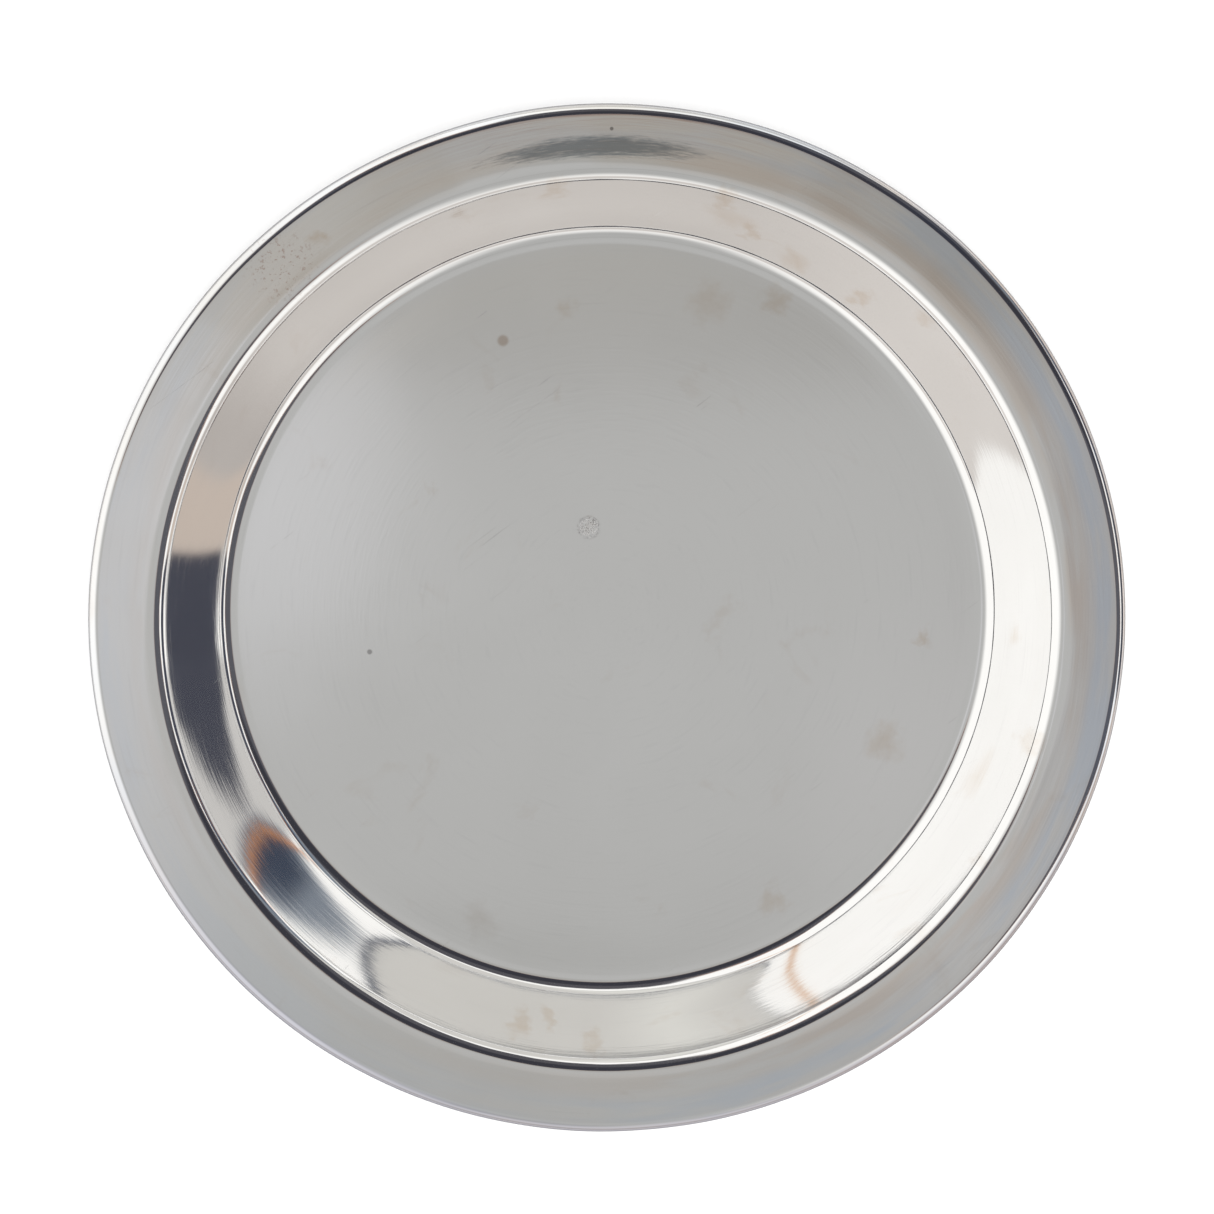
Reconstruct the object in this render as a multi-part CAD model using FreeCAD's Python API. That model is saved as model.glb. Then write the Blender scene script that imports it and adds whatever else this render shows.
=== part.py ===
import FreeCAD, Part
import math
import os

# Paten plate: one spun sheet of plated metal whose edge is curled under round a stiffening wire.
# Frame: Z up, origin at the centre of the flat underside of the well, on which the plate stands.
# Everything is turned about the Z axis. All lengths are in millimetres, all angles in degrees.

# Driving dimensions. Radii are those of the upper, polished surface.
OUTER_DIAMETER = 230.0
SHEET_THICKNESS = 0.8
WIRE_DIAMETER = 1.2
WELL_RADIUS = 84.2            # where the flat well starts to turn up into the wall
RIM_INNER_RADIUS = 101.1      # where the wall has turned over into the flat rim
WALL_SLOPE = 57.0

# Each corner between flat and wall is eased: gentle next to the flat, tighter half way round,
# and gentle again where it runs into the wall. Each row is a radius and the slope it ends at.
CORNER = (
    (4.5, 23.0),
    (2.9, 52.0),
    (10.0, WALL_SLOPE),
)
LIP_CROWN_RADIUS = 4.2        # the lip's first curve, next to the rim
LIP_CROWN_ANGLE = 20.0
CURL_ANGLE = 262.0            # how far from level the edge has turned, at its end under the lip

# Derived dimensions
WIRE_RADIUS = WIRE_DIAMETER / 2
CURL_RADIUS = WIRE_RADIUS + SHEET_THICKNESS


def rise_and_run(radius, first, last):
    """How far out and how far up an arc goes while its slope changes from first to last."""
    first, last = math.radians(first), math.radians(last)
    return radius * (math.sin(last) - math.sin(first)), radius * (math.cos(first) - math.cos(last))


def corner_size():
    """How far out and up one whole eased corner goes."""
    run = rise = slope = 0.0
    for radius, end_slope in CORNER:
        out, up = rise_and_run(radius, slope, end_slope)
        run += out
        rise += up
        slope = end_slope
    return run, rise


CORNER_RUN, CORNER_RISE = corner_size()
WALL_RUN = RIM_INNER_RADIUS - WELL_RADIUS - 2 * CORNER_RUN
WALL_RISE = WALL_RUN * math.tan(math.radians(WALL_SLOPE))
DEPTH = WALL_RISE + 2 * CORNER_RISE
RIM_HEIGHT = SHEET_THICKNESS + DEPTH
CURL_CENTRE_RADIUS = OUTER_DIAMETER / 2 - CURL_RADIUS
CROWN_OFFSET = LIP_CROWN_RADIUS - CURL_RADIUS
RIM_OUTER_RADIUS = CURL_CENTRE_RADIUS - CROWN_OFFSET * math.sin(math.radians(LIP_CROWN_ANGLE))
CROWN_CENTRE_HEIGHT = RIM_HEIGHT - LIP_CROWN_RADIUS
CURL_CENTRE_HEIGHT = CROWN_CENTRE_HEIGHT + CROWN_OFFSET * math.cos(math.radians(LIP_CROWN_ANGLE))


def point(radius, height):
    """A point of the half section, in the XZ plane."""
    return FreeCAD.Vector(radius, 0, height)


class Skin:
    """One skin of the sheet, drawn as tangent lines and arcs from the middle of the well."""

    def __init__(self, depth_in_sheet):
        self.depth = depth_in_sheet
        self.slope = 0.0
        self.at = point(0, SHEET_THICKNESS - depth_in_sheet)
        self.edges = []

    def go_straight(self, length):
        slope = math.radians(self.slope)
        end = self.at + FreeCAD.Vector(length * math.cos(slope), 0, length * math.sin(slope))
        self.edges.append(Part.LineSegment(self.at, end).toShape())
        self.at = end

    def bend(self, radius, end_slope):
        """Follows an arc whose upper skin has this radius, until the slope is end_slope."""
        turns_up = 1 if end_slope > self.slope else -1
        skin_radius = radius + turns_up * self.depth
        slopes = [math.radians(s) for s in (self.slope, (self.slope + end_slope) / 2, end_slope)]
        from_centre = [FreeCAD.Vector(math.sin(s), 0, -math.cos(s)) * turns_up * skin_radius for s in slopes]
        centre = self.at - from_centre[0]
        middle, end = centre + from_centre[1], centre + from_centre[2]
        self.edges.append(Part.Arc(self.at, middle, end).toShape())
        self.at = end
        self.slope = end_slope


def drawn_skin(depth_in_sheet):
    """The upper skin at depth 0, or the lower skin at the sheet's thickness."""
    skin = Skin(depth_in_sheet)
    skin.go_straight(WELL_RADIUS)
    for radius, end_slope in CORNER:
        skin.bend(radius, end_slope)
    skin.go_straight(WALL_RUN / math.cos(math.radians(WALL_SLOPE)))
    starts = [0.0] + [end_slope for radius, end_slope in CORNER[:-1]]
    for (radius, end_slope), start_slope in zip(reversed(CORNER), reversed(starts)):
        skin.bend(radius, start_slope)
    skin.go_straight(RIM_OUTER_RADIUS - RIM_INNER_RADIUS)
    skin.bend(LIP_CROWN_RADIUS, -LIP_CROWN_ANGLE)
    skin.bend(CURL_RADIUS, -CURL_ANGLE)
    return skin


def turned(edges):
    """The solid that a closed outline in the half section makes about the plate's axis."""
    outline = Part.Wire(Part.__sortEdges__(edges))
    full_turn = 360.0
    return Part.Face(outline).revolve(point(0, 0), FreeCAD.Vector(0, 0, 1), full_turn)


def dish_sheet():
    """The sheet: well, wall, rim, lip and curl, all of one thickness."""
    upper = drawn_skin(0)
    lower = drawn_skin(SHEET_THICKNESS)
    sheared_edge = Part.LineSegment(upper.at, lower.at).toShape()
    middle_of_well = Part.LineSegment(point(0, 0), point(0, SHEET_THICKNESS)).toShape()
    return turned(upper.edges + lower.edges + [sheared_edge, middle_of_well])


def edge_wire():
    """The round wire that the curl holds, a full ring."""
    centre = FreeCAD.Vector(0, 0, CURL_CENTRE_HEIGHT)
    return Part.makeTorus(CURL_CENTRE_RADIUS, WIRE_RADIUS, centre)


def main():
    os.makedirs("parts", exist_ok=True)
    for make in (dish_sheet, edge_wire):
        solid = make()
        solid.exportStep(f"parts/{make.__name__}.step")
        print(make.__name__, "valid", solid.isValid(), "volume", round(solid.Volume, 1))
    print("depth", round(DEPTH, 2), "rim height", round(RIM_HEIGHT, 2))
    print("rim outer radius", round(RIM_OUTER_RADIUS, 2), "wall run", round(WALL_RUN, 2))


main()
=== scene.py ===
import math

import bpy
import numpy as np
from mathutils import Matrix, Vector, noise


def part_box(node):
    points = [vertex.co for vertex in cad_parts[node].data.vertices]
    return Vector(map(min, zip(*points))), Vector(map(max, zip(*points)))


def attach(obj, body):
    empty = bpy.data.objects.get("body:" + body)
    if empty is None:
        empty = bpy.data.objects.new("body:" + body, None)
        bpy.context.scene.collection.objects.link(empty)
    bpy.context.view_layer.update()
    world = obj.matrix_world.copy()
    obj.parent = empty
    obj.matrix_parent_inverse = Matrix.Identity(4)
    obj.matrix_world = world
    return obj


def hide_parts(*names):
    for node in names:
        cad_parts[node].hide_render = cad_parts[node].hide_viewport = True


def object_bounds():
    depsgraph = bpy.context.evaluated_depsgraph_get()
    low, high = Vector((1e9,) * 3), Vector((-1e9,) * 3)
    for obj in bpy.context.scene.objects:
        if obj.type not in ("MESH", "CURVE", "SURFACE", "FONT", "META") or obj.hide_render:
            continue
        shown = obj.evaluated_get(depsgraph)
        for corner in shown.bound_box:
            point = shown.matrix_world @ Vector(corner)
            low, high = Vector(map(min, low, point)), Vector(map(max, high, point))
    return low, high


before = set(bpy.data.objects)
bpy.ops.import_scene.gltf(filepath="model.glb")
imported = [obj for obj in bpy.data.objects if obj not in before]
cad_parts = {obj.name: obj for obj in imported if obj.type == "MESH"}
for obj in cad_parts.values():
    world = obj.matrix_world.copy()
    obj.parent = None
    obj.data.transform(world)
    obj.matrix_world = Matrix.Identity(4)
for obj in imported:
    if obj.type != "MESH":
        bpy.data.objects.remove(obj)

# Paten plate: a polished, silver-plated sheet dish with its edge curled round a wire.
# The plate is a mirror, so its looks are half material and half surroundings.
# Geometry is in millimetres until a mesh is made, and its slopes are in degrees. Shaders and the
# studio are in metres; a length given there in millimetres is multiplied by MM.

CAD_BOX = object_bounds()
MM = 0.001

# ---------------------------------------------------------------- dimensions
OUTER_RADIUS = 115.0
SHEET = 0.8
WIRE_RADIUS = 0.6
WELL_RADIUS = 82.65          # of the part of the well that is quite flat
RIM_INNER_RADIUS = 102.65    # where the rim becomes quite flat
WALL_FOOT = 53.8             # the wall's slope where it leaves the well's corner
WALL_STEEPEST = 58.2         # the wall is very slightly crowned
STEEPEST_AT = 0.42           # as a share of the wall's length, from the well
WALL_HEAD = 55.6             # the wall's slope where it meets the rim's corner
# A corner's bends from the flat to the wall: a radius, and the slope it ends at (None: the wall's).
CORNER = ((30.0, 3.2), (5.0, 23.0), (2.5, 38.0), (3.9, 47.0), (2.1, None))
CROWN_RADIUS = 3.5           # the lip's first, gentle curve
CROWN_ANGLE = 24.0
LIP_WIDTH = 2.2              # from the flat rim to the plate's outermost edge
CURL_ANGLE = 262.0           # how far from level the edge has turned at its end
RIM_TOP = CAD_BOX[1].z / MM
CURL_CENTRE_R = OUTER_RADIUS - SHEET - WIRE_RADIUS
CURL_CENTRE_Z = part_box("edge_wire")[1].z / MM - WIRE_RADIUS

# ---------------------------------------------------------------- fineness of the meshes
SEGMENTS = 1200              # round the turn
FLAT_SPACING = 3.0           # in mm
RIM_SPACING = 0.6
LIP_SPACING = 0.2
BEND_STEP = 1.5              # in degrees of slope
NOSE_STEP = 6
CURL_STEP = 5
WALL_STEPS = 36
UNDERSIDE_FINENESS = 2.0     # the underside's steps are this much longer
INNER_CURL_STEPS = 22
OVER_WIRE_STEPS = 10
WIRE_SIDES = 24
WIRE_CLEARANCE = 0.005       # between the wire and the curl that holds it


# ---------------------------------------------------------------- geometry
class Skin:
    """The upper skin of the sheet as (radius, height, slope) stations, followed outwards."""

    def __init__(self, radius, height):
        self.slope = 0.0
        self.stations = [(radius, height, 0.0)]

    def run(self, length, end_slope, count, slope_at):
        """Goes on for a length while the slope follows slope_at, a function of the share done."""
        r, z, _ = self.stations[-1]
        for i in range(count):
            slope = math.radians(slope_at((i + 0.5) / count))
            r += length / count * math.cos(slope)
            z += length / count * math.sin(slope)
            self.stations.append((r, z, slope_at((i + 1) / count)))
        self.slope = end_slope

    def go_straight(self, length, spacing):
        self.run(length, self.slope, max(1, math.ceil(length / spacing)), lambda share: self.slope)

    def bend(self, radius, end_slope, step):
        """An arc of this radius; step is its fineness in degrees."""
        first, change = self.slope, end_slope - self.slope
        length = radius * math.radians(abs(change))
        count = max(2, math.ceil(abs(change) / step))
        self.run(length, end_slope, count, lambda share: first + change * share)


def corner(last_slope):
    """The bends of a corner, from the flat to a wall of this slope."""
    return [(radius, last_slope if end is None else end) for radius, end in CORNER]


def corner_run(last_slope):
    """How far out such a corner goes."""
    run = slope = 0.0
    for radius, end_slope in corner(last_slope):
        run += radius * (math.sin(math.radians(end_slope)) - math.sin(math.radians(slope)))
        slope = end_slope
    return run


def wall_slope(share):
    """The wall's slope at a share of its length, from the well to the rim."""
    if share < STEEPEST_AT:
        away = (STEEPEST_AT - share) / STEEPEST_AT
        return WALL_STEEPEST - (WALL_STEEPEST - WALL_FOOT) * away**2
    away = (share - STEEPEST_AT) / (1 - STEEPEST_AT)
    return WALL_STEEPEST - (WALL_STEEPEST - WALL_HEAD) * away**2


def dish(fineness):
    """From the middle of the well to the outer edge of the flat rim."""
    skin = Skin(0.0, SHEET)
    skin.go_straight(WELL_RADIUS, FLAT_SPACING)
    for radius, end_slope in corner(WALL_FOOT):
        skin.bend(radius, end_slope, BEND_STEP * fineness)
    run = RIM_INNER_RADIUS - WELL_RADIUS - corner_run(WALL_FOOT) - corner_run(WALL_HEAD)
    slopes = [math.radians(wall_slope((i + 0.5) / WALL_STEPS)) for i in range(WALL_STEPS)]
    mean_cosine = sum(math.cos(slope) for slope in slopes) / WALL_STEPS
    skin.run(run / mean_cosine, WALL_HEAD, WALL_STEPS, wall_slope)
    bends = corner(WALL_HEAD)
    starts = [0.0] + [end_slope for radius, end_slope in bends[:-1]]
    for (radius, end_slope), start_slope in zip(reversed(bends), reversed(starts)):
        skin.bend(radius, start_slope, BEND_STEP * fineness)
    left = OUTER_RADIUS - LIP_WIDTH - skin.stations[-1][0]
    skin.go_straight(left, RIM_SPACING * fineness)
    return skin


def upper_skin():
    """From the middle of the well, over the rim and the lip, to the end of the curl."""
    skin = dish(1.0)
    skin.bend(CROWN_RADIUS, -CROWN_ANGLE, BEND_STEP)
    left = OUTER_RADIUS - skin.stations[-1][0]
    skin.bend(left / (1 - math.sin(math.radians(CROWN_ANGLE))), -90.0, NOSE_STEP)
    skin.go_straight(skin.stations[-1][1] - CURL_CENTRE_Z, LIP_SPACING)
    skin.bend(SHEET + WIRE_RADIUS, -CURL_ANGLE, CURL_STEP)
    return [(r, z) for r, z, slope in skin.stations]


def lower_skin():
    """From the end of the curl, round the wire and under the rim, to the middle of the well."""
    def arc(centre, radius, first, last, count):
        angles = [math.radians(first + (last - first) * i / count) for i in range(count + 1)]
        return [(centre + radius * math.cos(a), CURL_CENTRE_Z + radius * math.sin(a)) for a in angles]

    under = [
        (r + SHEET * math.sin(math.radians(slope)), z - SHEET * math.cos(math.radians(slope)))
        for r, z, slope in dish(UNDERSIDE_FINENESS).stations[::-1]
    ]
    drop = under[0][1] - CURL_CENTRE_Z
    round_wire = arc(CURL_CENTRE_R, WIRE_RADIUS, 90 - CURL_ANGLE, 0, INNER_CURL_STEPS)
    over_wire = arc(CURL_CENTRE_R + WIRE_RADIUS - drop, drop, 0, 90, OVER_WIRE_STEPS)
    return round_wire + over_wire[1:] + under


def soft_step(value, low, high):
    """0 below low, 1 above high, and smooth between them."""
    t = np.clip((value - low) / (high - low), 0, 1)
    return t * t * (3 - 2 * t)


def turn_wave(angle, seed, lobes):
    """A smooth wandering value from -1 to 1 round the turn, without a seam."""
    return np.array([
        noise.noise(Vector((math.cos(a) * lobes, math.sin(a) * lobes, seed))) for a in angle
    ])


# The small errors of spinning and trimming by hand, in mm.
LIP_STARTS, LIP_MOVES_FULLY = 102.0, 113.0       # radii between which the lip's own errors grow
LIP_SWELL, LIP_RIPPLE = 0.22, 0.10               # the lip's radius wanders by these
LIP_OFF_CENTRE = -0.4
RIM_LIFT = 0.07
RIM_LIFT_STARTS, RIM_LIFTS_FULLY = 101.0, 104.0
WELL_DISHING, WELL_WAVE_LENGTH = 0.045, 48
WELL_DISHED_TO, WELL_TRUE_FROM = 74.0, 84.0      # radii


def handwork(points):
    """Adds those errors to points in mm."""
    x, y, z = points.T
    radius = np.hypot(x, y)
    angle = np.arctan2(y, x)
    outward = soft_step(radius, LIP_STARTS, LIP_MOVES_FULLY)
    swell = LIP_SWELL * turn_wave(angle, seed=3.7, lobes=1.6)
    swell += LIP_RIPPLE * turn_wave(angle, seed=9.1, lobes=5.0)
    scale = 1 + np.where(radius > 1, outward * swell / np.maximum(radius, 1), 0)
    rim = soft_step(radius, RIM_LIFT_STARTS, RIM_LIFTS_FULLY)
    lift = rim * RIM_LIFT * turn_wave(angle, seed=21.3, lobes=2.2)
    well = 1 - soft_step(radius, WELL_DISHED_TO, WELL_TRUE_FROM)
    dish_wave = np.array([
        noise.noise(Vector((px / WELL_WAVE_LENGTH, py / WELL_WAVE_LENGTH, 5.5))) for px, py in zip(x, y)
    ])
    lift += well * WELL_DISHING * dish_wave
    return np.stack([x * scale + LIP_OFF_CENTRE * outward, y * scale, z + lift], axis=1)


def lathe(name, profile, closed, materials, second_from=None):
    """A mesh turned about Z. The profile is in mm; an open one starts and ends on the axis.

    Rings from second_from onwards get the second material.
    """
    inner = profile if closed else profile[1:-1]
    radius = np.array([p[0] for p in inner])[:, None]
    height = np.array([p[1] for p in inner])[:, None]
    turn = np.linspace(0, 2 * np.pi, SEGMENTS, endpoint=False)[None, :]
    points = np.stack(
        [radius * np.cos(turn), radius * np.sin(turn), height + 0 * turn], axis=-1
    ).reshape(-1, 3)
    count = len(inner)
    faces = []
    for i in range(count if closed else count - 1):
        a, b = i * SEGMENTS, (i + 1) % count * SEGMENTS
        for j in range(SEGMENTS):
            k = (j + 1) % SEGMENTS
            faces.append((a + j, b + j, b + k, a + k))
    if not closed:
        first, end = len(points), len(points) + 1
        points = np.vstack([points, [[0, 0, profile[0][1]], [0, 0, profile[-1][1]]]])
        tail = (count - 1) * SEGMENTS
        for j in range(SEGMENTS):
            k = (j + 1) % SEGMENTS
            faces.append((first, j, k))
            faces.append((end, tail + k, tail + j))
    mesh = bpy.data.meshes.new(name)
    mesh.from_pydata((handwork(points) * MM).tolist(), [], faces)
    if second_from is not None:
        rings = np.arange(len(faces)) // SEGMENTS
        indices = (rings >= second_from).astype(np.int32)
        indices[rings >= count - 1] = np.tile([0, 1], SEGMENTS)     # the two closing fans
        mesh.polygons.foreach_set("material_index", indices)
    for material in materials:
        mesh.materials.append(material)
    mesh.shade_smooth()
    piece = bpy.data.objects.new(name, mesh)
    bpy.context.scene.collection.objects.link(piece)
    return piece


# ---------------------------------------------------------------- node helpers
class Nodes:
    """Short ways to build a node tree."""

    def __init__(self, tree):
        self.tree = tree

    def add(self, kind, **settings):
        node = self.tree.nodes.new(kind)
        for key, value in settings.items():
            setattr(node, key, value)
        return node

    def put(self, socket, value):
        if isinstance(value, bpy.types.NodeSocket):
            self.tree.links.new(value, socket)
        else:
            socket.default_value = value

    def math(self, operation, a, b=0.0, c=0.0):
        node = self.add("ShaderNodeMath", operation=operation)
        for socket, value in zip(node.inputs, (a, b, c)):
            self.put(socket, value)
        return node.outputs[0]

    def product(self, first, *others):
        for other in others:
            first = self.math("MULTIPLY", first, other)
        return first

    def length(self, x, y):
        return self.math("SQRT", self.math("ADD", self.product(x, x), self.product(y, y)))

    def smooth(self, value, low, high, to_low=0.0, to_high=1.0):
        """Maps low to to_low and high to to_high, smoothly and no further."""
        node = self.add("ShaderNodeMapRange", interpolation_type="SMOOTHSTEP")
        for socket, v in zip(node.inputs, (value, low, high, to_low, to_high)):
            self.put(socket, v)
        return node.outputs[0]

    def mix(self, factor, a, b, blend="MIX"):
        node = self.add("ShaderNodeMix", data_type="RGBA", blend_type=blend)
        self.put(node.inputs[0], factor)
        self.put(node.inputs[6], a)
        self.put(node.inputs[7], b)
        return node.outputs[2]

    def tinted(self, colour, mask, tint):
        """The colour, multiplied by the tint where the mask is 1."""
        return self.mix(mask, colour, tint, "MULTIPLY")

    def combine(self, x, y, z):
        node = self.add("ShaderNodeCombineXYZ")
        for socket, value in zip(node.inputs, (x, y, z)):
            self.put(socket, value)
        return node.outputs[0]

    def split(self, vector):
        node = self.add("ShaderNodeSeparateXYZ")
        self.put(node.inputs[0], vector)
        return node.outputs

    def noise(self, vector, scale, detail=3.0, rough=0.5, distortion=0.0):
        node = self.add("ShaderNodeTexNoise")
        for name, value in (
            ("Vector", vector), ("Scale", scale), ("Detail", detail),
            ("Roughness", rough), ("Distortion", distortion),
        ):
            self.put(node.inputs[name], value)
        return node.outputs[0]

    def bump(self, bsdf, height, strength=1.0, distance=1.0):
        """Gives a shader this relief; the height is in units of the distance, in metres."""
        node = self.add("ShaderNodeBump")
        self.put(node.inputs["Strength"], strength)
        self.put(node.inputs["Distance"], distance)
        self.put(node.inputs["Height"], height)
        self.put(bsdf.inputs["Normal"], node.outputs[0])


def start_material(name, metallic):
    """A new material, its nodes, its shader and the place on the object."""
    material = bpy.data.materials.new(name)
    material.use_nodes = True
    n = Nodes(material.node_tree)
    bsdf = material.node_tree.nodes["Principled BSDF"]
    bsdf.inputs["Metallic"].default_value = metallic
    return material, n, bsdf, n.add("ShaderNodeTexCoord").outputs["Object"]


def linear(*display):
    """A display colour of 0 to 255 a channel as scene-linear RGBA."""
    out = [v / 255 / 12.92 if v <= 10 else ((v / 255 + 0.055) / 1.055) ** 2.4 for v in display]
    return (*out, 1.0)


# ---------------------------------------------------------------- surroundings
SILVER_TINT = 0.93      # the plating's mean reflectance, which the surroundings make up for


def seen(*display):
    """What the surroundings must be for the silver to show a display colour."""
    return tuple(v / SILVER_TINT for v in linear(*display)[:3]) + (1.0,)


# Patches of the surroundings, later ones over earlier ones. Azimuth runs from +X towards +Y.
# A patch leans: its azimuth, given at the elevation "level", shifts by "lean" for each degree above
# that. It climbs: its elevation shifts by "climb" for each degree of azimuth. All in degrees.
CARD = dict(level=15.0, lean=0.0, climb=0.0, corner=2.0, soft=1.2)
CARDS = [
    # the pale back of the room
    dict(CARD, az=278, half=66, low=10, high=33, level=23, lean=0.7, corner=8, soft=2.5,
         shade=(217, 212, 208)),
    dict(CARD, az=288, half=40, low=8, high=35, level=23, corner=8, soft=36, shade=(201, 196, 192)),
    dict(CARD, az=334, half=14, low=8, high=35, level=23, corner=6, soft=16, shade=(183, 177, 173)),
    dict(CARD, az=338, half=6.0, low=11, high=34, level=23, lean=0.2, soft=3, shade=(198, 185, 175)),
    # the dark doorway, whose lower edge climbs away to the left
    dict(CARD, az=13, half=15, low=2, high=25, soft=4, shade=(203, 201, 199)),
    dict(CARD, az=354.5, half=11.5, low=16.2, high=44, corner=3, shade=(68, 70, 81)),
    dict(CARD, az=10, half=13, low=18.3, high=44, climb=0.24, corner=3, soft=1.6, shade=(70, 72, 83)),
    dict(CARD, az=40, half=17, low=16.0, high=44, level=18.5, lean=-0.8, climb=0.25, corner=3, soft=2.6,
         shade=(124, 132, 143)),
    dict(CARD, az=30, half=6.0, low=15.8, high=44, level=18.5, lean=-0.8, climb=0.3, corner=4, soft=5.5,
         shade=(62, 70, 86)),
    dict(CARD, az=25.0, half=0.7, low=3, high=36, level=19, lean=-0.8, corner=0.6,
         shade=(196, 134, 88)),
    # the pale panel with its dark edge
    dict(CARD, az=80.7, half=31.7, low=7.0, high=40, lean=-0.75, corner=3.6, soft=0.9,
         shade=(78, 84, 98)),
    dict(CARD, az=81.5, half=30.5, low=7.8, high=40, lean=-0.75, corner=3, soft=0.9,
         shade=(206, 204, 200)),
    dict(CARD, az=98, half=5.0, low=8, high=40, lean=-0.75, soft=16, shade=(222, 221, 216)),
    dict(CARD, az=119.0, half=0.6, low=3, high=36, lean=-0.35, corner=0.5, shade=(212, 168, 130)),
]

# The unlit side of the room, in the direction's own x and y: middle, half sizes, softness, shade.
UNLIT = [
    (0.030, -0.430, 0.190, 0.240, 0.330, (172, 172, 171)),
    (0.160, 0.191, 0.460, 0.237, 0.012, (165, 135, 120)),
    (0.375, -0.010, 0.230, 0.330, 0.015, (165, 135, 120)),
    (0.160, 0.172, 0.445, 0.209, 0.026, (84, 84, 90)),
    (0.250, 0.380, 0.350, 0.180, 0.050, (82, 81, 86)),
    (0.370, -0.010, 0.215, 0.310, 0.035, (88, 88, 94)),
    (0.200, 0.138, 0.370, 0.152, 0.070, (56, 56, 63)),
]

# Overhead, where the flat surfaces look, in the direction's own x and y: middle, reaches, shade.
OVERHEAD = [
    (-0.055, -0.130, 0.030, 0.070, (196, 196, 198)),
    (0.020, -0.082, 0.080, 0.020, (165, 164, 162)),
    (-0.023, -0.106, 0.017, 0.036, (206, 206, 208)),
    (-0.030, -0.075, 0.030, 0.020, (184, 181, 177)),
    (0.128, -0.130, 0.040, 0.120, (159, 157, 157)),
    (0.012, -0.030, 0.110, 0.050, (170, 168, 163)),
    (0.086, -0.066, 0.030, 0.026, (151, 148, 143)),
    (0.030, -0.226, 0.110, 0.034, (161, 160, 158)),
    (0.092, -0.203, 0.050, 0.036, (157, 155, 154)),
    (0.010, -0.192, 0.052, 0.013, (167, 167, 165)),
    (0.081, -0.165, 0.019, 0.030, (189, 188, 188)),
]

OVERHEAD_SHADE = (181, 181, 180)
OVERHEAD_EDGE = (56.0, 76.0)         # elevations between which the bright walls give way to it
BRIGHT_WALL_SHADE = (254, 253, 251)
UNLIT_CORNER = 0.03
UNLIT_FOOT = (40.0, 42.0)            # elevations between which the unlit side begins
RAGGEDNESS = 8.0                     # how far streaks shift the edges of the cards that climb
SKYLINE_SHADE = (96, 93, 94)         # a dark line along the horizon
SKYLINE_FOOT, SKYLINE_TOP = (-1.4, -0.8), (2.2, 1.4)     # elevations over which it fades out
SKYLINE_STRENGTH = 0.9
HORIZON = (-0.9, -1.6)
TABLE_FAR, TABLE_NEAR, TABLE_UNDER = (240, 238, 236), (182, 181, 182), (112, 111, 112)
NEARER, UNDERNEATH = (-3.0, -24.0), (-40.0, -85.0)       # elevations at which the table darkens
PLAIN_SHADE = (248, 248, 248)        # what the camera and the dull surfaces see


def box_mask(n, qx, qy, corner, soft):
    """1 inside a rounded box; qx and qy are the distances past its sides."""
    qx, qy = n.math("ADD", qx, corner), n.math("ADD", qy, corner)
    outside = n.length(n.math("MAXIMUM", qx, 0.0), n.math("MAXIMUM", qy, 0.0))
    inside = n.math("MINIMUM", n.math("MAXIMUM", qx, qy), 0.0)
    distance = n.math("SUBTRACT", n.math("ADD", outside, inside), corner)
    return n.smooth(distance, soft / 2, -soft / 2)


def card_mask(n, azimuth, elevation, card):
    """1 where a direction meets this card."""
    above = n.math("SUBTRACT", elevation, card["level"])
    from_middle = n.math("SUBTRACT", azimuth, float(card["az"]))
    across = n.math("MULTIPLY_ADD", above, -card["lean"], from_middle)
    away = n.math("WRAP", across, 180.0, -180.0)
    middle = (card["low"] + card["high"]) / 2
    lift = n.math("MULTIPLY_ADD", away, -card["climb"], n.math("SUBTRACT", elevation, middle))
    qx = n.math("SUBTRACT", n.math("ABSOLUTE", away), float(card["half"]))
    qy = n.math("SUBTRACT", n.math("ABSOLUTE", lift), (card["high"] - card["low"]) / 2)
    return box_mask(n, qx, qy, card["corner"], card["soft"])


def overhead_colour(n, x, y):
    """What the plate's flat surfaces look at: a plain shade with soft patches."""
    overhead = seen(*OVERHEAD_SHADE)
    for cx, cy, rx, ry, shade in OVERHEAD:
        dx = n.math("DIVIDE", n.math("SUBTRACT", x, cx), rx)
        dy = n.math("DIVIDE", n.math("SUBTRACT", y, cy), ry)
        overhead = n.mix(n.smooth(n.length(dx, dy), 1.25, 0.55), overhead, seen(*shade))
    return overhead


def with_unlit_side(n, colour, x, y, elevation):
    """The colour, with the unlit side of the room over it."""
    for mx, my, hx, hy, soft, shade in UNLIT:
        qx = n.math("SUBTRACT", n.math("ABSOLUTE", n.math("SUBTRACT", x, mx)), hx)
        qy = n.math("SUBTRACT", n.math("ABSOLUTE", n.math("SUBTRACT", y, my)), hy)
        mask = n.product(box_mask(n, qx, qy, UNLIT_CORNER, soft), n.smooth(elevation, *UNLIT_FOOT))
        colour = n.mix(mask, colour, seen(*shade))
    return colour


def with_cards(n, colour, azimuth, elevation):
    """The colour, with the cards over it; those that climb have ragged edges."""
    field = n.combine(n.product(azimuth, 0.07), n.product(elevation, 4.6), 3.0)
    drawn_out = n.noise(field, 1.0, 4.0, 0.7)
    ragged = n.math("MULTIPLY_ADD", n.math("SUBTRACT", drawn_out, 0.5), RAGGEDNESS, elevation)
    for card in CARDS:
        height = ragged if card["climb"] else elevation
        colour = n.mix(card_mask(n, azimuth, height, card), colour, seen(*card["shade"]))
    return colour


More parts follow.
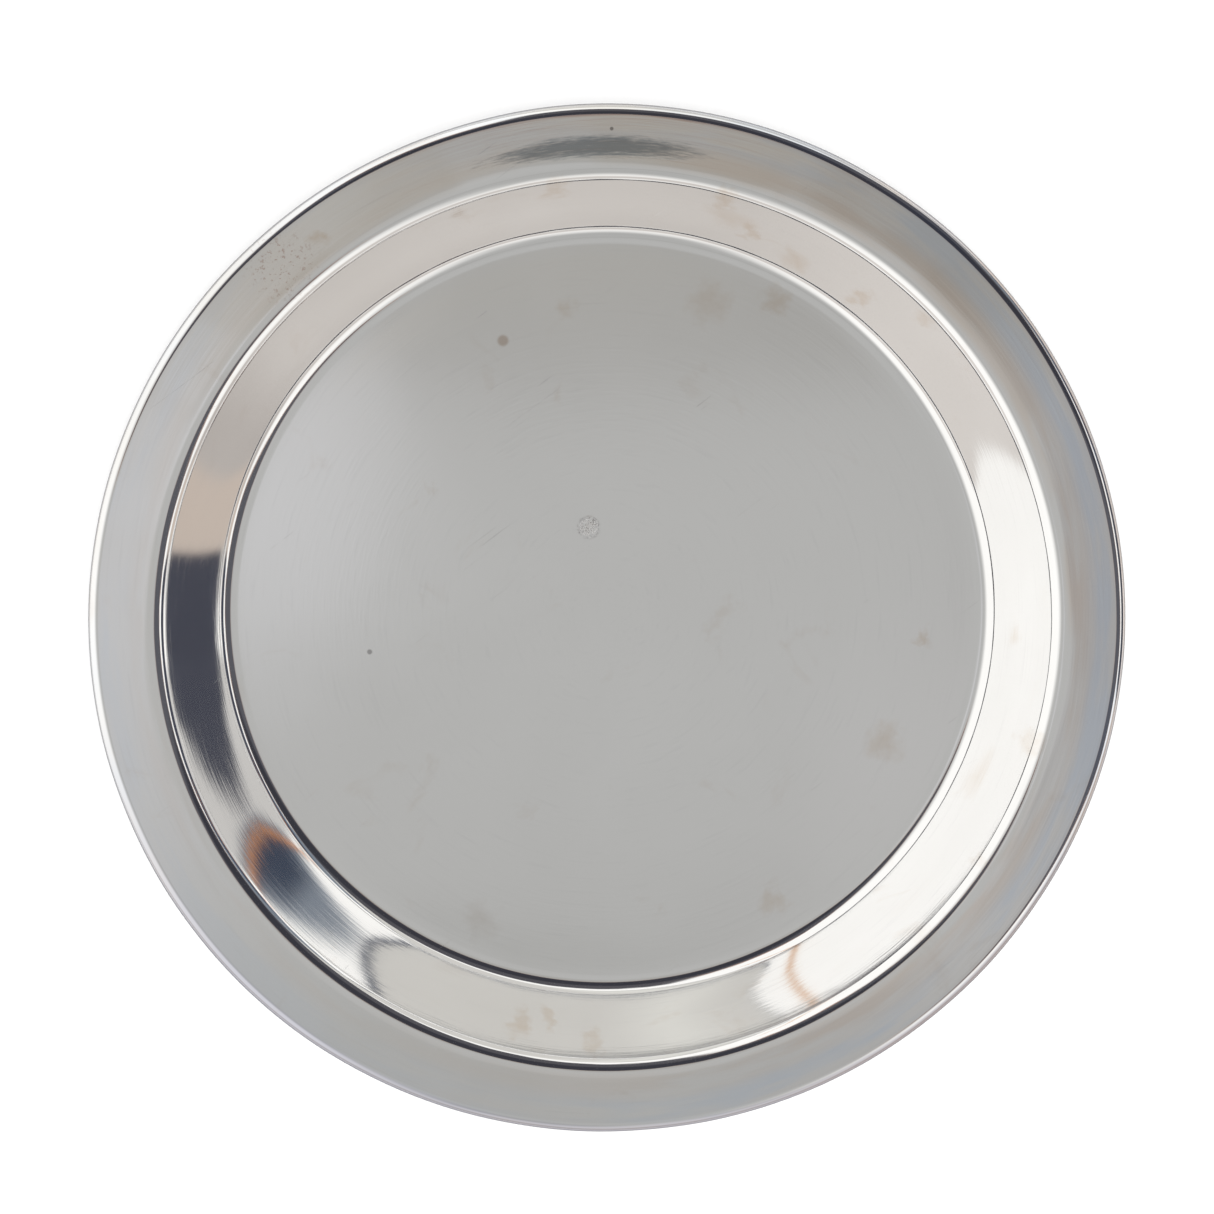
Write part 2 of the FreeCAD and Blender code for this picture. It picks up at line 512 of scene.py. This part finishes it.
def with_table(n, colour, elevation):
    """The colour, with the dark skyline and the table below it."""
    skyline = n.product(
        n.smooth(elevation, *SKYLINE_FOOT), n.smooth(elevation, *SKYLINE_TOP), SKYLINE_STRENGTH
    )
    colour = n.mix(skyline, colour, seen(*SKYLINE_SHADE))
    table = n.mix(n.smooth(elevation, *NEARER), seen(*TABLE_FAR), seen(*TABLE_NEAR))
    table = n.mix(n.smooth(elevation, *UNDERNEATH), table, seen(*TABLE_UNDER))
    return n.mix(n.smooth(elevation, *HORIZON), colour, table)


def mirrored_room(n):
    """The colour that the plate mirrors in each direction."""
    unit = n.add("ShaderNodeVectorMath", operation="NORMALIZE")
    n.put(unit.inputs[0], n.add("ShaderNodeTexCoord").outputs["Generated"])
    x, y, z = n.split(unit.outputs[0])
    azimuth = n.math("DEGREES", n.math("ARCTAN2", y, x))
    elevation = n.math("DEGREES", n.math("ARCSINE", z))
    above = n.smooth(elevation, *OVERHEAD_EDGE)
    colour = n.mix(above, seen(*BRIGHT_WALL_SHADE), overhead_colour(n, x, y))
    colour = with_unlit_side(n, colour, x, y, elevation)
    colour = with_cards(n, colour, azimuth, elevation)
    return with_table(n, colour, elevation)


def build_world():
    """The studio: the room for what mirrors it, and a plain pale backdrop for everything else."""
    world = bpy.data.worlds.new("Studio")
    bpy.context.scene.world = world
    world.use_nodes = True
    world.cycles.sampling_method = "NONE"
    tree = world.node_tree
    tree.nodes.clear()
    n = Nodes(tree)
    reflected = n.add("ShaderNodeBackground")
    n.put(reflected.inputs["Color"], mirrored_room(n))
    plain = n.add("ShaderNodeBackground")
    plain.inputs["Color"].default_value = linear(*PLAIN_SHADE)
    choose = n.add("ShaderNodeMixShader")
    n.put(choose.inputs[0], n.add("ShaderNodeLightPath").outputs["Is Glossy Ray"])
    tree.links.new(plain.outputs[0], choose.inputs[1])
    tree.links.new(reflected.outputs[0], choose.inputs[2])
    tree.links.new(choose.outputs[0], n.add("ShaderNodeOutputWorld").inputs[0])


# ---------------------------------------------------------------- materials
# Marks on the plating: (share of the outer radius, angle in degrees, radius in mm, colour, strength)
BROWN, TAN, DARK = (0.66, 0.56, 0.48, 1), (0.90, 0.83, 0.76, 1), (0.36, 0.35, 0.35, 1)
MARKS = [
    (0.570, 111.0, 1.5, BROWN, 0.75),
    (0.470, 189.5, 0.7, DARK, 0.7),
    (0.953, 90.0, 0.5, DARK, 0.9),
    (0.600, 98.0, 3.4, TAN, 0.6),
    (0.640, 72.0, 6.0, TAN, 0.6),
    (0.620, 355.0, 2.6, TAN, 0.9),
    (0.690, 62.0, 4.0, TAN, 0.8),
    (0.660, 248.0, 5.0, BROWN, 0.22),
    (0.600, 335.0, 5.5, TAN, 0.8),
    (0.660, 300.0, 4.0, TAN, 0.7),
    (0.925, 127.0, 2.6, TAN, 0.9),
    (0.845, 97.0, 3.2, TAN, 0.7),
    (0.845, 75.0, 3.4, TAN, 0.9),
    (0.800, 70.0, 2.6, TAN, 0.8),
    (0.790, 52.0, 3.0, TAN, 0.9),
    (0.845, 44.0, 2.6, TAN, 0.6),
    (0.850, 344.0, 3.6, TAN, 0.6),
    (0.855, 327.0, 2.4, TAN, 0.5),
    (0.815, 258.0, 3.6, TAN, 0.9),
    (0.830, 268.0, 3.0, TAN, 0.7),
    (0.800, 262.0, 2.4, TAN, 0.8),
]
WANDERING_FROM = 2          # marks larger than this, in mm, have outlines that wander
WANDER = 8 * MM             # the reach of that wandering, from one side to the other

SILVER_DULL, SILVER_BRIGHT = (0.885, 0.88, 0.87, 1), (0.975, 0.973, 0.968, 1)
TARNISH, GREYED = (0.80, 0.72, 0.65, 1), (0.72, 0.72, 0.73, 1)
UNDER_DULL, UNDER_BRIGHT = (0.80, 0.79, 0.77, 1), (0.92, 0.915, 0.90, 1)
GRIMY_WIRE, CLEAN_WIRE = (0.52, 0.38, 0.18, 1), (0.80, 0.64, 0.36, 1)
FLOOR_DULL, FLOOR_BRIGHT = (0.90, 0.90, 0.90, 1), (0.92, 0.92, 0.92, 1)
# Tints that are multiplied into the silver.
WARM, COOL = (0.97, 0.905, 0.855, 1), (0.89, 0.955, 1.05, 1)
# a painted reflection of the dark camera, on the upper rim
CAMERA_REFLECTION = (0.42, 0.46, 0.50, 1)
# painted shade along the lower side of the lip
LOW_LIP_SHADE = (0.66, 0.65, 0.70, 1)
# darker sectors on the upper rim
UPPER_RIM_SECTORS = (0.96, 0.945, 0.925, 1)
FRECKLED = (0.76, 0.66, 0.63, 1)
# a painted warm reflection on the outside of the lip
WARM_LIP_REFLECTION = (0.94, 0.87, 0.83, 1)
SCUFFED = (0.80, 0.79, 0.78, 1)
STAINED, GROOVED = (0.86, 0.76, 0.64, 1), (0.78, 0.77, 0.76, 1)      # on the underside
# Heights of the relief, in metres.
HAIR_RELIEF, BAND_RELIEF, SCUFF_RELIEF = 2.2e-6, 6e-6, 25e-6
RING_RELIEF, RUB_RELIEF = 10e-6, 4e-6
WIRE_RELIEF, WIRE_RELIEF_STRENGTH = 20e-6, 0.3
# Radii between which one part of the plate gives way to the next.
WELL_TO_WALL = (83 * MM, 88 * MM)
WALL_TO_RIM = (99 * MM, 101 * MM)
RIM_BEGINS = (100.5 * MM, 102.5 * MM)
NEAR_AXIS = 0.5 * MM        # keeps the direction round the plate defined at its middle


class OnPlate:
    """Where a point lies on the plate, as node outputs; lengths are in metres."""

    def __init__(self, n, place):
        self.n = n
        self.place = place
        self.x, self.y, self.z = n.split(place)
        self.radius = n.length(self.x, self.y)
        safe = n.math("MAXIMUM", self.radius, NEAR_AXIS)
        self.ux = n.math("DIVIDE", self.x, safe)
        self.uy = n.math("DIVIDE", self.y, safe)
        # grows steadily from the middle, up the wall, to the lip
        self.along = n.math("ADD", self.radius, self.z)

    def round_field(self, turn, lengthwise):
        """A place to read noise at, so that it is drawn out round the plate."""
        n = self.n
        return n.combine(n.product(self.ux, turn), n.product(self.uy, turn), lengthwise)

    def streaks(self, turn, across, detail, shift):
        """Streaks round the plate, as spinning and polishing leave them."""
        lengthwise = self.n.math("MULTIPLY_ADD", self.along, across, shift)
        return self.n.noise(self.round_field(turn, lengthwise), 1.0, detail, 0.6)

    def far_from(self, px, py):
        """How far a point is from a place on the plate, seen from above."""
        n = self.n
        return n.length(n.math("SUBTRACT", self.x, px), n.math("SUBTRACT", self.y, py))


def with_film_colours(n, at, silver, on_rim):
    """Thin-film colours of old polish: warm on the rim's inner half, bluish towards the lip."""
    zone = at.streaks(turn=2.2, across=160.0, detail=3.0, shift=41.0)
    right_side = n.smooth(at.ux, -0.3, 0.6, 0.35, 1.0)
    inner_half = n.smooth(at.radius, 109.5 * MM, 104.0 * MM)
    silver = n.tinted(silver, n.product(inner_half, on_rim, n.smooth(zone, 0.36, 0.58), right_side), WARM)
    outer_half = n.smooth(at.radius, 105.0 * MM, 109.0 * MM)
    return n.tinted(silver, n.product(outer_half, n.smooth(zone, 0.42, 0.62), right_side), COOL)


def with_marks(n, at, silver):
    """The marks listed above; the larger ones have outlines that wander."""
    warp = n.noise(at.place, 260.0, 3.0, 0.6)
    warp_too = n.noise(n.combine(at.y, at.z, at.x), 260.0, 3.0, 0.6)
    wx = n.math("MULTIPLY_ADD", warp, WANDER, at.x)
    wy = n.math("MULTIPLY_ADD", warp_too, WANDER, at.y)
    for share, angle, size, shade, strength in MARKS:
        far, turn = share * OUTER_RADIUS * MM, math.radians(angle)
        mx, my = far * math.cos(turn), far * math.sin(turn)
        if size > WANDERING_FROM:
            dx = n.math("SUBTRACT", wx, mx + WANDER / 2)
            dy = n.math("SUBTRACT", wy, my + WANDER / 2)
            spread = n.smooth(n.length(dx, dy), size * MM * 1.1, 0.0)
        else:
            spread = n.smooth(at.far_from(mx, my), size * MM * 1.1, size * MM * 0.5)
        silver = n.tinted(silver, n.product(spread, strength), shade)
    return silver


def with_camera_reflection(n, at, silver):
    """A painted reflection of the dark camera on the upper rim, its ends drawn out along the polish."""
    off = n.math("DIVIDE", n.math("SUBTRACT", at.radius, 105.8 * MM), 2.1 * MM)
    lengthwise = n.math("DIVIDE", n.math("ADD", at.ux, 0.03), 0.185)
    reach = n.math("ADD", n.product(off, off), n.product(lengthwise, lengthwise))
    tear = n.math("SUBTRACT", at.streaks(turn=30.0, across=2600.0, detail=3.0, shift=77.0), 0.5)
    torn = n.math("MULTIPLY_ADD", tear, 2.8, reach)
    return n.tinted(silver, n.product(n.smooth(torn, 1.9, 0.15), n.smooth(at.uy, 0.0, 0.2)), CAMERA_REFLECTION)


def with_tarnish_and_painted_light(n, at, silver, on_rim):
    """Tarnish freckles on the rim, darker sectors on its upper part, and painted shade and a painted warm
    reflection on the lip.
    """
    # painted shade: the outer curl of the lip is darker along its lower side
    low_lip = n.product(n.smooth(at.radius, 113.1 * MM, 113.7 * MM), n.smooth(at.uy, -0.05, -0.75))
    silver = n.tinted(silver, low_lip, LOW_LIP_SHADE)
    # broad darker sectors over the upper part of the rim
    field = at.round_field(4.6, n.product(at.along, 20.0))
    sector = n.smooth(n.noise(field, 1.0, 1.0, 0.5), 0.46, 0.66)
    upper_rim = n.product(on_rim, n.smooth(at.uy, -0.2, 0.8))
    silver = n.tinted(silver, n.product(upper_rim, sector), UPPER_RIM_SECTORS)
    # freckles of old tarnish on the upper left of the rim
    near_freckles = n.smooth(at.far_from(-72.2 * MM, 79.4 * MM), 11 * MM, 2 * MM)
    speckle = n.noise(at.place, 1250.0, 3.0, 0.6)
    silver = n.tinted(silver, n.product(near_freckles, n.smooth(speckle, 0.56, 0.66)), FRECKLED)
    # a painted reflection: the outside of the lip is warmer, pinkish, on the right
    outer_lip = n.product(n.smooth(at.radius, 113.6 * MM, 114.3 * MM), n.smooth(at.ux, 0.25, 0.65))
    return n.tinted(silver, outer_lip, WARM_LIP_REFLECTION)


def scuff_mask(n, at):
    """A scuff near the middle of the well, where something was set down."""
    near_scuff = n.smooth(at.far_from(-4.2 * MM, 19.2 * MM), 3.0 * MM, 0.8 * MM)
    grain = n.noise(at.place, 1500.0, 4.0, 0.7, 1.2)
    return n.product(near_scuff, n.smooth(grain, 0.50, 0.56))


def scratch_mask(n, at, patch):
    """Fine stray scratches that cross the polish, where the patches let them."""
    turned_x = n.math("MULTIPLY_ADD", at.x, 0.8, n.product(at.y, 0.6))
    turned_y = n.math("MULTIPLY_ADD", at.y, 0.8, n.product(at.x, -0.6))
    field = n.add("ShaderNodeVectorMath", operation="MULTIPLY")
    n.put(field.inputs[0], n.combine(turned_x, turned_y, at.z))
    field.inputs[1].default_value = (36.0, 2600.0, 1.0)
    stray = n.noise(field.outputs[0], 1.0, 2.0, 0.5)
    return n.product(n.smooth(stray, 0.69, 0.74), n.smooth(patch, 0.50, 0.62))


def silver_material():
    """The polished side: where a point lies on the plate decides its tint, gloss and relief."""
    material, n, bsdf, place = start_material("silver_plate_polished", 1.0)
    at = OnPlate(n, place)
    hair = at.streaks(turn=9.0, across=2300.0, detail=1.0, shift=3.0)
    band = at.streaks(turn=5.0, across=1100.0, detail=2.0, shift=17.0)
    cloud = n.noise(place, 24.0, 4.0, 0.55, 0.4)
    patch = n.noise(place, 62.0, 5.0, 0.6, 0.7)
    on_rim = n.smooth(at.radius, *RIM_BEGINS)
    on_wall = n.product(n.smooth(at.radius, *WELL_TO_WALL), n.smooth(at.radius, *WALL_TO_RIM[::-1]))
    scuff = scuff_mask(n, at)

    silver = n.mix(cloud, SILVER_DULL, SILVER_BRIGHT)
    silver = with_film_colours(n, at, silver, on_rim)
    # faint tarnish, and dull bands along the polish
    silver = n.mix(n.smooth(patch, 0.60, 0.78, 0.0, 0.35), silver, TARNISH)
    silver = n.mix(n.smooth(band, 0.55, 0.75, 0.0, 0.10), silver, GREYED)
    silver = with_marks(n, at, silver)
    # a painted reflection of the camera on the upper rim
    silver = with_camera_reflection(n, at, silver)
    # tarnish on the rim, with painted shade and a painted warm reflection on the lip
    silver = with_tarnish_and_painted_light(n, at, silver, on_rim)
    n.put(bsdf.inputs["Base Color"], n.tinted(silver, scuff, SCUFFED))

    scratched = n.product(scratch_mask(n, at, patch), 0.5)
    dragged = n.product(n.smooth(band, 0.50, 0.72), on_wall, 0.12)
    dull = n.math("MAXIMUM", n.math("MAXIMUM", scuff, scratched), dragged)
    roughness = n.math("MULTIPLY_ADD", cloud, 0.06, 0.04)
    n.put(bsdf.inputs["Roughness"], n.math("ADD", roughness, n.product(dull, 0.35)))

    # polishing marks are faint in the well, stronger on the rim and strongest on the wall
    well_share = n.smooth(at.radius, *WELL_TO_WALL, 0.16, 1.0)
    strength = n.product(well_share, n.smooth(at.radius, 99 * MM, 102 * MM, 1.7, 0.42))
    relief = n.math("MULTIPLY_ADD", hair, HAIR_RELIEF, n.product(band, BAND_RELIEF))
    n.bump(bsdf, n.math("MULTIPLY_ADD", scuff, SCUFF_RELIEF, n.product(relief, strength)))
    return material


def underside_material():
    """The side that stands on the table: the same plating, with spinning marks, dull and rubbed."""
    material, n, bsdf, place = start_material("silver_plate_underside", 1.0)
    at = OnPlate(n, place)
    ring = n.noise(at.round_field(3.0, n.product(at.along, 1500.0)), 1.0, 3.0, 0.6)
    cloud = n.noise(place, 30.0, 5.0, 0.6, 0.6)
    rub = n.noise(place, 140.0, 5.0, 0.7, 1.0)
    silver = n.mix(n.smooth(cloud, 0.3, 0.7), UNDER_DULL, UNDER_BRIGHT)
    silver = n.tinted(silver, n.smooth(cloud, 0.62, 0.78), STAINED)
    silver = n.tinted(silver, n.smooth(ring, 0.52, 0.70, 0.0, 0.5), GROOVED)
    n.put(bsdf.inputs["Base Color"], silver)
    worn = n.product(n.smooth(at.radius, 86 * MM, 80 * MM), n.smooth(rub, 0.48, 0.66))
    roughness = n.math("MULTIPLY_ADD", ring, 0.12, 0.14)
    n.put(bsdf.inputs["Roughness"], n.math("ADD", roughness, n.product(worn, 0.2)))
    n.bump(bsdf, n.math("MULTIPLY_ADD", ring, RING_RELIEF, n.product(worn, RUB_RELIEF)))
    return material


def wire_material():
    """Bare drawn wire, with a little grime."""
    material, n, bsdf, place = start_material("bare_wire_drawn", 1.0)
    grime = n.noise(place, 180.0, 4.0, 0.6)
    n.put(bsdf.inputs["Base Color"], n.mix(grime, GRIMY_WIRE, CLEAN_WIRE))
    n.put(bsdf.inputs["Roughness"], n.math("MULTIPLY_ADD", grime, 0.25, 0.25))
    n.bump(bsdf, n.noise(place, 900.0, 3.0), WIRE_RELIEF_STRENGTH, WIRE_RELIEF)
    return material


def floor_material():
    """A plain pale table."""
    material, n, bsdf, place = start_material("pale_floor", 0.0)
    bsdf.inputs["Roughness"].default_value = 0.9
    bsdf.inputs["Specular IOR Level"].default_value = 0.1
    mottle = n.noise(place, 6.0, 2.0)
    n.put(bsdf.inputs["Base Color"], n.mix(mottle, FLOOR_DULL, FLOOR_BRIGHT))
    return material


# ---------------------------------------------------------------- the plate
upper, lower = upper_skin(), lower_skin()
sheet = lathe(
    "dish_sheet_polished", upper + lower, False, [silver_material(), underside_material()], len(upper) - 1
)
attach(sheet, "root")
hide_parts("dish_sheet")

around = [2 * math.pi * i / WIRE_SIDES for i in range(WIRE_SIDES)]
drawn_radius = WIRE_RADIUS - WIRE_CLEARANCE
wire_section = [
    (CURL_CENTRE_R + drawn_radius * math.cos(a), CURL_CENTRE_Z - drawn_radius * math.sin(a)) for a in around
]
wire = lathe("edge_wire_drawn", wire_section, True, [wire_material()])
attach(wire, "root")
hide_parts("edge_wire")

# ---------------------------------------------------------------- the studio
FLOOR_RADIUS, FLOOR_SIDES, FLOOR_DROP = 1.6, 128, 0.2 * MM
bpy.ops.mesh.primitive_circle_add(
    vertices=FLOOR_SIDES, radius=FLOOR_RADIUS, fill_type="NGON", location=(0, 0, -FLOOR_DROP)
)
floor = bpy.context.object
floor.name = "floor"
floor.visible_glossy = False      # the plate mirrors the world's own, greyer table instead
floor.data.materials.append(floor_material())

build_world()

SOFTBOX_SIZE, SOFTBOX_POWER, SOFTBOX_PLACE = 2.2, 34.0, (0.0, 0.1, 1.7)
light = bpy.data.lights.new("overhead_softbox", "AREA")
light.shape = "DISK"
light.size = SOFTBOX_SIZE
light.energy = SOFTBOX_POWER
lamp = bpy.data.objects.new("overhead_softbox", light)
bpy.context.scene.collection.objects.link(lamp)
lamp.location = SOFTBOX_PLACE
lamp.visible_glossy = False
lamp.visible_camera = False

# ---------------------------------------------------------------- the camera
TILT = math.radians(7.5)
SWING = math.radians(-1.7)           # the camera stands a little to the left of the middle
DISTANCE = 1.4
FRAME_WIDTH = 268.901 * MM           # what the picture's width spans at the rim's height
AIM_RIGHT, AIM_UP = -0.6 * MM, 3.76 * MM     # from the middle of the rim to what the camera aims at
SENSOR_WIDTH = 36.0                  # in mm
back = Vector((math.tan(SWING), math.tan(TILT), 1.0)).normalized()
right = Vector((1.0, 0.0, 0.0)) - back * back.x
right.normalize()
up = back.cross(right)
target = Vector((0.0, 0.0, RIM_TOP * MM)) + right * AIM_RIGHT + up * AIM_UP
data = bpy.data.cameras.new("camera")
camera = bpy.data.objects.new("camera", data)
bpy.context.scene.collection.objects.link(camera)
data.sensor_width = SENSOR_WIDTH
data.lens = SENSOR_WIDTH * DISTANCE / FRAME_WIDTH
data.clip_start = 0.05
data.clip_end = 20.0
turn = Matrix((right, up, back)).transposed().to_4x4()
camera.matrix_world = Matrix.Translation(target + back * DISTANCE) @ turn
bpy.context.scene.camera = camera

bpy.context.scene.view_settings.view_transform = "Standard"
